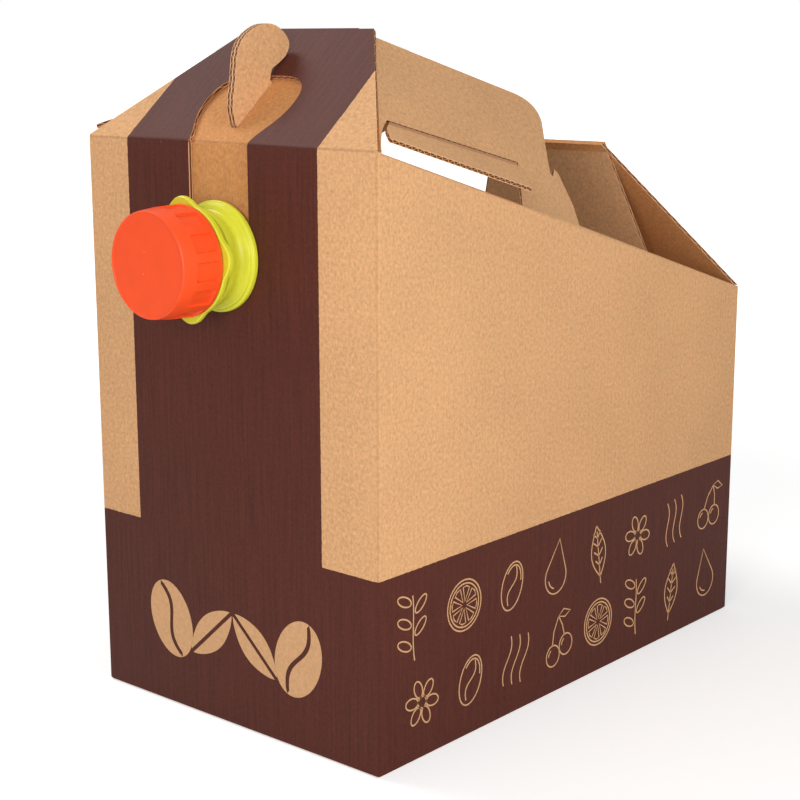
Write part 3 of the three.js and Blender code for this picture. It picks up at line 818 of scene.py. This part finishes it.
def print_motifs(name, layout, origin, right, up, out):
    """Lays motifs on a wall as a film of print: layout lists a motif, its place and its scale and turn."""
    points, faces = [], []
    for motif, x, y, scale, turn in layout:
        flat_points, flat_faces = [], []
        c, s = math.cos(math.radians(turn)), math.sin(math.radians(turn))
        base = len(points)
        if motif in SOLIDS:
            for outline in SOLIDS[motif]():
                flat_faces.append(tuple(range(len(flat_points), len(flat_points) + len(outline))))
                flat_points.extend(outline)
        else:
            for line in MOTIFS[motif]():
                stroke_faces(line, sizes().stroke / MM / scale, flat_points, flat_faces)
        faces.extend(tuple(base + i for i in face) for face in flat_faces)
        points.extend(
            (x + scale * (c * px - s * py), y + scale * (s * px + c * py)) for px, py in flat_points
        )
    origin, right, up, out = Vector(origin), Vector(right), Vector(up), Vector(out)
    lift = 0.03 * MM
    points = [origin + right * (x * MM) + up * (y * MM) + out * lift for x, y in points]
    piece = mesh_piece(name, points, [], faces)
    apply_modifier(piece, "SOLIDIFY", thickness=0.025 * MM, offset=0.0)
    return piece


# Pieces.


class CARTON_OT_stage(bpy.types.Operator):
    """Places the camera, the lamps, the floor and the white surroundings"""

    bl_idname = "carton.stage"
    bl_label = "Stage"

    def execute(self, context):
        place_camera()
        place_lamps()
        lay_floor()
        return {"FINISHED"}


def place_camera():
    azimuth, pitch, roll = math.radians(40.84), math.radians(12.18), math.radians(-0.10)
    level = Vector((-math.sin(azimuth), math.cos(azimuth), 0))
    ahead = level * math.cos(pitch) - Vector((0, 0, math.sin(pitch)))
    right = Vector((math.cos(azimuth), math.sin(azimuth), 0))
    up = right.cross(ahead)
    turned_right = right * math.cos(roll) + up * math.sin(roll)
    turned_up = turned_right.cross(ahead)
    front_foot = Vector((0, FRONT_Y, 0))
    from_eye = -0.4284 * turned_right - 0.8422 * turned_up + 4.3320 * ahead
    eye = front_foot - 2 * SIDE_X * from_eye
    bpy.ops.object.camera_add(location=eye)
    camera = bpy.context.object
    camera.name = "photo_camera"
    camera.rotation_euler = Matrix((turned_right, turned_up, -ahead)).transposed().to_euler()
    camera.data.lens = 75.16
    camera.data.sensor_width = 36
    camera.data.clip_start = 0.01
    bpy.context.scene.camera = camera


def place_lamps():
    lamps = (
        ("side_softbox", (0.90, -0.32, 0.50), 0.45, 4.4),
        ("front_softbox", (0.42, -0.95, 0.34), 0.40, 3.5),
        ("upper_softbox", (-0.62, -0.20, 1.00), 0.50, 5.4),
    )
    middle = Vector((0, 0, 0.12))
    for name, location, size, power in lamps:
        bpy.ops.object.light_add(type="AREA", location=location)
        lamp = bpy.context.object
        lamp.name = name
        lamp.data.shape = "DISK"
        lamp.data.size = size
        lamp.data.energy = power
        lamp.rotation_euler = (middle - Vector(location)).to_track_quat("-Z", "Y").to_euler()
    world = bpy.data.worlds.new("white_room")
    bpy.context.scene.world = world
    world.use_nodes = True
    tree = world.node_tree
    tree.nodes.clear()
    path = put(tree, "ShaderNodeLightPath")
    seen = maths(tree, "MAXIMUM", path.outputs["Is Camera Ray"], path.outputs["Is Transmission Ray"])
    glossy = maths(tree, "MULTIPLY", path.outputs["Is Glossy Ray"], 0.5)
    strength = maths(tree, "MAXIMUM", maths(tree, "MAXIMUM", seen, glossy), 0.33)
    back = put(tree, "ShaderNodeBackground", {"Color": (1, 1, 1, 1), "Strength": strength})
    out = put(tree, "ShaderNodeOutputWorld")
    tree.links.new(back.outputs[0], out.inputs[0])
    bpy.context.scene.view_settings.view_transform = "Standard"


def lay_floor():
    bpy.ops.mesh.primitive_plane_add(size=60, location=(0, 0, -0.0002))
    floor = bpy.context.object
    floor.name = "pale_floor"
    material, tree, shader, place = begin_material("pale_floor")
    shader.inputs["Base Color"].default_value = (0.80, 0.80, 0.80, 1)
    shader.inputs["Roughness"].default_value = 0.9
    path = put(tree, "ShaderNodeLightPath")
    distance = put(tree, "ShaderNodeVectorMath", {0: place}, operation="LENGTH").outputs["Value"]
    far = ramp(tree, distance, 0.30, 0.95, 0.42, 1.0)
    shader.inputs["Emission Color"].default_value = (1, 1, 1, 1)
    strength = maths(tree, "MULTIPLY", path.outputs["Is Camera Ray"], far)
    tree.links.new(strength, shader.inputs["Emission Strength"])
    floor.data.materials.append(material)


class CARTON_OT_walls(bpy.types.Operator):
    """Models the folded blank: walls, front slope, liner and handle panels"""

    bl_idname = "carton.walls"
    bl_label = "Walls and handle"

    def execute(self, context):
        piece = copy_of_node("carton_body", "folded_blank")
        up = (0, 0, 1)
        radius = sizes().fold_radius
        lines = [((x, y, 0), up) for x in (-SIDE_X, SIDE_X) for y in (FRONT_Y, BACK_Y)]
        lines += [((0, y, 0), (1, 0, 0)) for y in (FRONT_Y, BACK_Y)]
        lines += [((x, 0, 0), (0, 1, 0)) for x in (-SIDE_X, SIDE_X)]
        lines += [(SLOPE_FOOT, (1, 0, 0))]
        lines += [((x, FRONT_Y, FRONT_HEIGHT), ALONG) for x in (-SIDE_X, SIDE_X)]
        round_folds(piece, lines, radius)
        mirrored_up = Vector((-PANEL_OUT.x, PANEL_OUT.y, PANEL_OUT.z))
        panels = [
            panel((0, FRONT_Y, 0), (0, -1, 0), (1, 0, 0), striped=1.0),
            panel((0, BACK_Y, 0), (0, 1, 0), (1, 0, 0)),
            panel((SIDE_X, 0, 0), (1, 0, 0), (0, 1, 0)),
            panel((-SIDE_X, 0, 0), (-1, 0, 0), (0, 1, 0)),
            panel((0, 0, 0), (0, 0, -1), (0, 1, 0), liner=0.0),
            panel(SLOPE_FOOT, SLOPE_OUT, (1, 0, 0), striped=1.0),
            panel(SLOPE_FOOT - LINER_DEPTH * SLOPE_OUT, SLOPE_OUT, (1, 0, 0), liner=0.0),
            panel((0, FRONT_Y + LINER_DEPTH, 0), (0, -1, 0), (1, 0, 0), liner=0.0),
            panel((-SIDE_X + BOARD, 0, 0), (-1, 0, 0), (0, 1, 0), liner=0.0),
            panel((SIDE_X, FRONT_Y, FRONT_HEIGHT), PANEL_OUT, ALONG),
            panel((-SIDE_X, FRONT_Y, FRONT_HEIGHT), mirrored_up, ALONG),
        ]
        map_board(piece, panels)
        finish_piece(piece, board_material(), "carton", 25)
        return {"FINISHED"}


class CARTON_OT_back_flap(bpy.types.Operator):
    """Models the back flap with its tuck flap"""

    bl_idname = "carton.back_flap"
    bl_label = "Back flap"

    def execute(self, context):
        piece = copy_of_node("back_flap", "tuck_and_slope")
        round_folds(piece, [(BACK_RIDGE, (1, 0, 0))], 0.8 * MM)
        panels = [panel(BACK_FOOT, BACK_OUT, (1, 0, 0)), panel(BACK_RIDGE, TUCK_OUT, (1, 0, 0))]
        map_board(piece, panels)
        finish_piece(piece, board_material(), "back_flap", 25)
        return {"FINISHED"}


class CARTON_OT_grip_flaps(bpy.types.Operator):
    """Models the two flaps that swing out of the grip slots"""

    bl_idname = "carton.grip_flaps"
    bl_label = "Grip flaps"

    def execute(self, context):
        for side, name in ((1, "right_grip_flap"), (-1, "left_grip_flap")):
            piece = copy_of_node(name, name + "_board")
            pivot = Vector((side * 0.0628964, -0.103486, 0.2322677))
            hinge = Vector((-side * 0.047774, 0.972171, -0.22935)).normalized()
            out = Vector((side * PANEL_OUT.x, PANEL_OUT.y, PANEL_OUT.z))
            down = hinge.cross(out) * side
            swing = math.radians(19)
            fall = down * math.cos(swing) + out * math.sin(swing)
            face = (hinge.cross(fall) * side).normalized()
            if face.dot(out) < 0:
                face = -face
            map_board(piece, [panel(pivot + face * BOARD / 2, face, hinge)])
            finish_piece(piece, board_material("hinged_board", hinged=True), name, 25)
        return {"FINISHED"}


class CARTON_OT_lock_fin(bpy.types.Operator):
    """Models the doubled fin that locks the handle panels"""

    bl_idname = "carton.lock_fin"
    bl_label = "Lock fin"

    def execute(self, context):
        piece = copy_of_node("lock_fin", "doubled_fin")
        upright = panel((SPOUT.x + BOARD, 0, 0), (1, 0, 0), SLOPE_UP, layers=2, liner=0.0)
        feet = panel(SLOPE_FOOT - (2 * BOARD + 2 * GAP + GAP) * SLOPE_OUT, SLOPE_OUT, (1, 0, 0), liner=0.0)
        map_board(piece, [upright, feet])
        mesh = piece.data
        for polygon in mesh.polygons:
            if abs(polygon.normal.x) > 0.9:
                mesh.attributes["outer"].data[polygon.index].value = 1.0
        finish_piece(piece, board_material("plain_board", printed=False), "carton", 25)
        return {"FINISHED"}


class CARTON_OT_motifs(bpy.types.Operator):
    """Prints plain line motifs on the band round the foot"""

    bl_idname = "carton.motifs"
    bl_label = "Printed motifs"

    def execute(self, context):
        rows = []
        for k, motif in enumerate(UPPER_ROW):
            rows.append((motif, 19 + 29.6 * k, 53, 1.04, 9 * (-1) ** k))
        for k, motif in enumerate(LOWER_ROW):
            rows.append((motif, 24 + 28.6 * k, 22, 1.04, -8 * (-1) ** k))
        walls = (
            ("print_right", (SIDE_X, FRONT_Y, 0), (0, 1, 0), (1, 0, 0)),
            ("print_left", (-SIDE_X, BACK_Y, 0), (0, -1, 0), (-1, 0, 0)),
        )
        bare = motif_material()
        for name, origin, right, out in walls:
            piece = print_motifs(name, rows, origin, right, (0, 0, 1), out)
            finish_piece(piece, bare, "carton")
        ornament = [
            ("solid_bean", -35, 35.5, 1.1, 22),
            ("solid_leaf", -12, 35, 1.0, -48),
            ("solid_leaf", 12, 35, 1.0, 48),
            ("solid_bean", 35, 35.5, 1.1, -22),
        ]
        front = print_motifs("print_front", ornament, (0, FRONT_Y, 0), (1, 0, 0), (0, 0, 1), (0, -1, 0))
        finish_piece(front, bare, "carton")
        return {"FINISHED"}


def motif_material():
    material, tree, shader, place = begin_material("bare_motif")
    tone = maths(tree, "MULTIPLY_ADD", noise(tree, place, 700, 3.0), 0.4, 0.72)
    grey = grey_of(tree, tone)
    tree.links.new(blend_colour(tree, 1.0, colours().kraft, grey, "MULTIPLY"), shader.inputs["Base Color"])
    shader.inputs["Roughness"].default_value = 0.8
    return material


class CARTON_OT_spout(bpy.types.Operator):
    """Models the spout: flanges, stepped neck, lobed collar and screw thread"""

    bl_idname = "carton.spout"
    bl_label = "Spout"

    def execute(self, context):
        profile = [
            (12.5, -5.0), (12.5, -5.3), (22, -5.3), (22, -3.8), (15, -3.8), (15, 0.3), (20.5, 0.3),
            (20.5, 2.1), (19.6, 2.5), (19.4, 3.5), (17.3, 4.4), (16.6, 5.9), (16.6, 8.5), (18.6, 9.4),
            (18.6, 11.8), (16.6, 12.2), (16.6, 16.9), (16.4, 31.2), (15.9, 31.8), (12.5, 31.8), (12.5, -5.0),
        ]
        tube = spun("moulded_spout", rounded(profile, 0.35), 96)
        piece = join(tube, lobed_collar(), screw_thread())
        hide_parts("spout")
        plastic = plastic_material("moulded_lime", colours().spout, 0.38, 0.04)
        finish_piece(piece, plastic, "carton")
        return {"FINISHED"}


def round_axis(radius, angle, reach):
    """The place at a radius, an angle and a reach, in mm, about the spout's axis."""
    return SPOUT + MM * Vector((radius * math.cos(angle), -reach, radius * math.sin(angle)))


def lobed_collar():
    """A ring with four round lobes, rounded at its rims."""
    steps = 144
    lobes = 4
    lobe_reach = 2.6
    phase = math.radians(5)
    bore = 15.5
    rim = 20.6
    section = (
        (14.6, bore, 0), (14.6, rim, 0.5), (15.0, rim, 0.1), (15.8, rim, 0),
        (16.6, rim, 0.1), (17.0, rim, 0.5), (17.0, bore, 0),
    )
    points = []
    for i in range(steps):
        angle = 2 * math.pi * i / steps
        lobe = max(0.0, math.cos(lobes * (angle - phase))) ** 1.5
        for reach, radius, inset in section:
            grown = radius + lobe_reach * lobe - inset if radius == rim else radius
            points.append(round_axis(grown, angle, reach))
    return face_outwards(mesh_piece("lobed_collar", points, [], tube_faces(steps, len(section), True)))


def screw_thread():
    """A single thread of a little under two and a half turns round the spout's neck."""
    pitch = 4.2
    per_turn = 60
    total = int(2.4 * per_turn)
    root = 16.2
    neck = 16.4
    points = []
    for i in range(total + 1):
        angle = 2 * math.pi * i / per_turn
        crest = neck + 0.75 * min(1.0, i / 10, (total - i) / 10)
        start = 19.4 + pitch * i / per_turn
        for radius, offset in ((root, -0.9), (crest, -0.35), (crest, 0.35), (root, 0.9)):
            points.append(round_axis(radius, angle, start + offset))
    faces = tube_faces(total + 1, 4, False)
    faces.append((0, 1, 2, 3))
    faces.append(tuple(total * 4 + k for k in (3, 2, 1, 0)))
    return face_outwards(mesh_piece("screw_thread", points, [], faces))


class CARTON_OT_cap(bpy.types.Operator):
    """Models the screw cap with its recessed panels and ribs"""

    bl_idname = "carton.cap"
    bl_label = "Cap"

    def execute(self, context):
        profile = [
            (0.0, 33.4), (17.8, 33.4), (17.8, 17.4), (20.0, 17.4), (20.3, 17.7), (20.3, 18.8),
            (20.28, 19.2), (20.2, 22.0), (20.1, 25.0), (20.05, 27.6), (19.9, 29.0), (19.6, 32.0),
            (19.4, 33.8), (19.3, 34.5), (19.2, 34.85), (19.0, 35.0), (18.7, 35.0), (18.5, 34.9),
            (18.4, 34.7), (17.6, 34.7), (9.0, 34.7), (0.0, 34.7),
        ]
        piece = spun("screw_cap", profile, 144)
        edit(piece)
        first = -4.0
        half_width = 10.0
        for k in range(sizes().cap_panels):
            middle = first + k * 360 / sizes().cap_panels

            def in_panel(polygon):
                offset = polygon.center - SPOUT
                radius = math.hypot(offset.x, offset.z) / MM
                angle = math.degrees(math.atan2(offset.z, offset.x))
                apart = (angle - middle + 180) % 360 - 180
                return radius > 19.3 and 19.1 < -offset.y / MM < 28.6 and abs(apart) < half_width

            choose(piece, faces=in_panel)
            bpy.ops.mesh.inset(thickness=0.25 * MM, depth=-0.85 * MM, use_boundary=True)
        bpy.ops.object.mode_set(mode="OBJECT")
        dots = []
        for x, z in ((-1.5, 4.4), (-2.5, -3.4)):
            place = SPOUT + MM * Vector((x, -34.5, z))
            bpy.ops.mesh.primitive_uv_sphere_add(segments=16, ring_count=8, radius=0.7 * MM, location=place)
            dot = bpy.context.object
            bpy.ops.object.transform_apply(location=True, rotation=True, scale=True)
            dots.append(dot)
        join(piece, *dots)
        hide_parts("cap")
        plastic = plastic_material("moulded_orange", colours().cap, 0.38, 0.06)
        finish_piece(piece, plastic, "cap", 28)
        return {"FINISHED"}


class CARTON_OT_seal(bpy.types.Operator):
    """Models the foam disc with its pressed sealing ring"""

    bl_idname = "carton.seal"
    bl_label = "Sealing disc"

    def execute(self, context):
        low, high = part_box("cap_liner")
        front, back = (FRONT_Y - low.y) / MM, (FRONT_Y - high.y) / MM
        radius = (high.x - low.x) / 2 / MM
        groove = back + 0.25
        profile = [
            (0, back), (12.2, back), (12.6, groove), (16.6, groove),
            (17.0, back), (radius, back), (radius, front), (0, front),
        ]
        piece = spun("foam_disc", rounded(profile, 0.15), 96)
        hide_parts("cap_liner")
        finish_piece(piece, foam_material(), "cap_liner")
        return {"FINISHED"}


class CARTON_OT_bag(bpy.types.Operator):
    """Models the filled film bag that lies in the carton"""

    bl_idname = "carton.bag"
    bl_label = "Film bag"

    def execute(self, context):
        piece = copy_of_node("inner_bag", "film_bag")
        apply_modifier(piece, "REMESH", mode="VOXEL", voxel_size=4 * MM)
        apply_modifier(piece, "SMOOTH", factor=0.5, iterations=6)
        for label, size, strength in (("slack", 0.045, 5), ("crinkle", 0.016, 2.2)):
            texture = bpy.data.textures.new(label, "CLOUDS")
            texture.noise_scale = size
            texture.noise_depth = 2
            inwards = -strength * MM
            settings = {"texture_coords": "LOCAL", "strength": inwards, "mid_level": 0.0}
            apply_modifier(piece, "DISPLACE", texture=texture, **settings)
        apply_modifier(piece, "SUBSURF", levels=1, render_levels=1)
        finish_piece(piece, film_material(), "carton", 60)
        return {"FINISHED"}


class CARTON_PT_pieces(bpy.types.Panel):
    """Lists the carton's sizes, colours and pieces"""

    bl_idname = "CARTON_PT_pieces"
    bl_label = "Bag in Box Carton"
    bl_space_type = "VIEW_3D"
    bl_region_type = "UI"
    bl_category = "Carton"

    def draw(self, context):
        layout = self.layout
        for group in (context.scene.carton_sizes, context.scene.carton_colours):
            for name in group.__annotations__:
                layout.prop(group, name)
        for operator in OPERATORS:
            layout.operator(operator.bl_idname)


OPERATORS = (
    CARTON_OT_stage,
    CARTON_OT_walls,
    CARTON_OT_back_flap,
    CARTON_OT_grip_flaps,
    CARTON_OT_lock_fin,
    CARTON_OT_motifs,
    CARTON_OT_spout,
    CARTON_OT_cap,
    CARTON_OT_seal,
    CARTON_OT_bag,
)
CLASSES = (CartonSizes, CartonColours, *OPERATORS, CARTON_PT_pieces)


def register():
    for cls in CLASSES:
        bpy.utils.register_class(cls)
    bpy.types.Scene.carton_sizes = bpy.props.PointerProperty(type=CartonSizes)
    bpy.types.Scene.carton_colours = bpy.props.PointerProperty(type=CartonColours)


def unregister():
    del bpy.types.Scene.carton_colours
    del bpy.types.Scene.carton_sizes
    for cls in reversed(CLASSES):
        bpy.utils.unregister_class(cls)


def main():
    register()
    bpy.ops.object.select_all(action="DESELECT")
    bpy.ops.carton.stage()
    bpy.ops.carton.walls()
    bpy.ops.carton.back_flap()
    bpy.ops.carton.grip_flaps()
    bpy.ops.carton.lock_fin()
    bpy.ops.carton.motifs()
    bpy.ops.carton.spout()
    bpy.ops.carton.cap()
    bpy.ops.carton.seal()
    bpy.ops.carton.bag()


if __name__ == "__main__":
    main()
